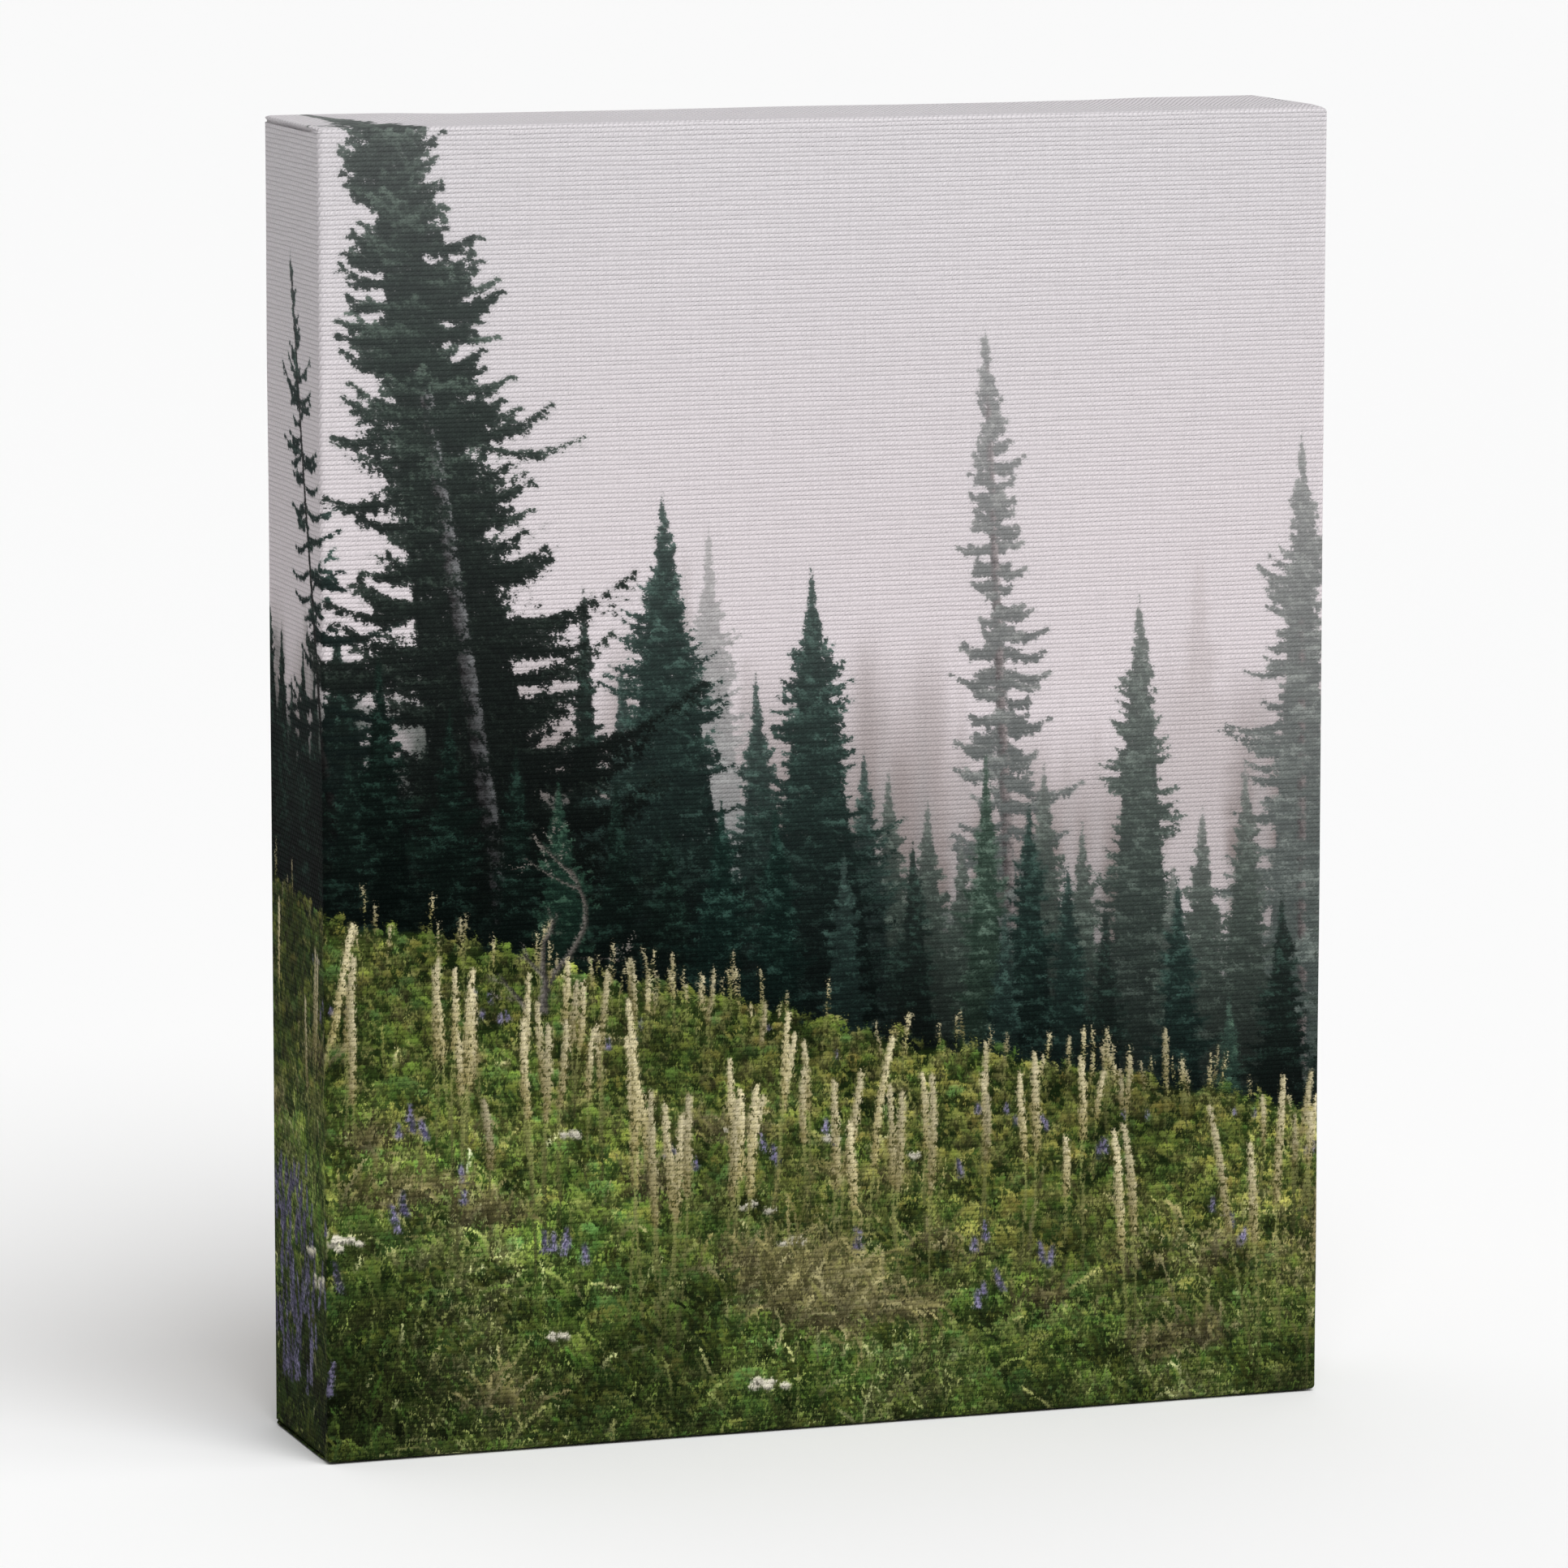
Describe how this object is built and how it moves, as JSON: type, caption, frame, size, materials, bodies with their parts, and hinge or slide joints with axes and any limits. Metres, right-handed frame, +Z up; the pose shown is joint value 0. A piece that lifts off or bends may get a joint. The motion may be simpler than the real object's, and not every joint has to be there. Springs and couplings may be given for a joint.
{
  "type": "stretched canvas",
  "caption": "Gallery-depth stretched canvas: printed cotton canvas wrapped round a mitred, keyed pine stretcher frame, stapled on the back, with a sawtooth hanger.",
  "frame": {"origin": "middle of the bottom side of the wrapped canvas, half way through its depth, where it stands", "axes": "+Z up along the upright sides, +X to the viewer's right, the printed face looks along -Y and the open back along +Y"},
  "size_m": [0.2032, 0.0407, 0.254],
  "materials": {
    "canvas": "matt printed cotton canvas, plain weave, raw cream on the inside",
    "pine": "planed unfinished pine",
    "key_wood": "sawn unfinished hardwood",
    "staple_wire": "galvanised wire",
    "zinc_plate": "zinc-plated stamped sheet",
    "nail_steel": "bright steel brad"
  },
  "bodies": {
    "frame": {"canvas_sheet": "canvas", "rail_top": "pine", "rail_bottom": "pine", "stile_left": "pine", "stile_right": "pine", "staple_top_1": "staple_wire", "staple_top_2": "staple_wire", "staple_top_3": "staple_wire", "staple_top_4": "staple_wire", "staple_bottom_1": "staple_wire", "staple_bottom_2": "staple_wire", "staple_bottom_3": "staple_wire", "staple_bottom_4": "staple_wire", "staple_left_1": "staple_wire", "staple_right_1": "staple_wire", "staple_left_2": "staple_wire", "staple_right_2": "staple_wire", "staple_left_3": "staple_wire", "staple_right_3": "staple_wire", "staple_left_4": "staple_wire", "staple_right_4": "staple_wire", "staple_left_5": "staple_wire", "staple_right_5": "staple_wire", "staple_corner_top_left": "staple_wire", "staple_corner_top_right": "staple_wire", "staple_corner_bottom_left": "staple_wire", "staple_corner_bottom_right": "staple_wire", "sawtooth_hanger": "zinc_plate", "hanger_nail_left": "nail_steel", "hanger_nail_right": "nail_steel"},
    "top_left_rail_key": {"key_top_left_rail": "key_wood"},
    "top_left_stile_key": {"key_top_left_stile": "key_wood"},
    "top_right_rail_key": {"key_top_right_rail": "key_wood"},
    "top_right_stile_key": {"key_top_right_stile": "key_wood"},
    "bottom_left_rail_key": {"key_bottom_left_rail": "key_wood"},
    "bottom_left_stile_key": {"key_bottom_left_stile": "key_wood"},
    "bottom_right_rail_key": {"key_bottom_right_rail": "key_wood"},
    "bottom_right_stile_key": {"key_bottom_right_stile": "key_wood"}
  },
  "joints": [
    {"name": "top_left_rail_key_slide", "type": "slide", "parent": "frame", "child": "top_left_rail_key", "axis": [1, 0, 0], "range_m": [0, 0.012]},
    {"name": "top_left_stile_key_slide", "type": "slide", "parent": "frame", "child": "top_left_stile_key", "axis": [0, 0, -1], "range_m": [0, 0.012]},
    {"name": "top_right_rail_key_slide", "type": "slide", "parent": "frame", "child": "top_right_rail_key", "axis": [-1, 0, 0], "range_m": [0, 0.012]},
    {"name": "top_right_stile_key_slide", "type": "slide", "parent": "frame", "child": "top_right_stile_key", "axis": [0, 0, -1], "range_m": [0, 0.012]},
    {"name": "bottom_left_rail_key_slide", "type": "slide", "parent": "frame", "child": "bottom_left_rail_key", "axis": [1, 0, 0], "range_m": [0, 0.012]},
    {"name": "bottom_left_stile_key_slide", "type": "slide", "parent": "frame", "child": "bottom_left_stile_key", "axis": [0, 0, 1], "range_m": [0, 0.012]},
    {"name": "bottom_right_rail_key_slide", "type": "slide", "parent": "frame", "child": "bottom_right_rail_key", "axis": [-1, 0, 0], "range_m": [0, 0.012]},
    {"name": "bottom_right_stile_key_slide", "type": "slide", "parent": "frame", "child": "bottom_right_stile_key", "axis": [0, 0, 1], "range_m": [0, 0.012]}
  ]
}
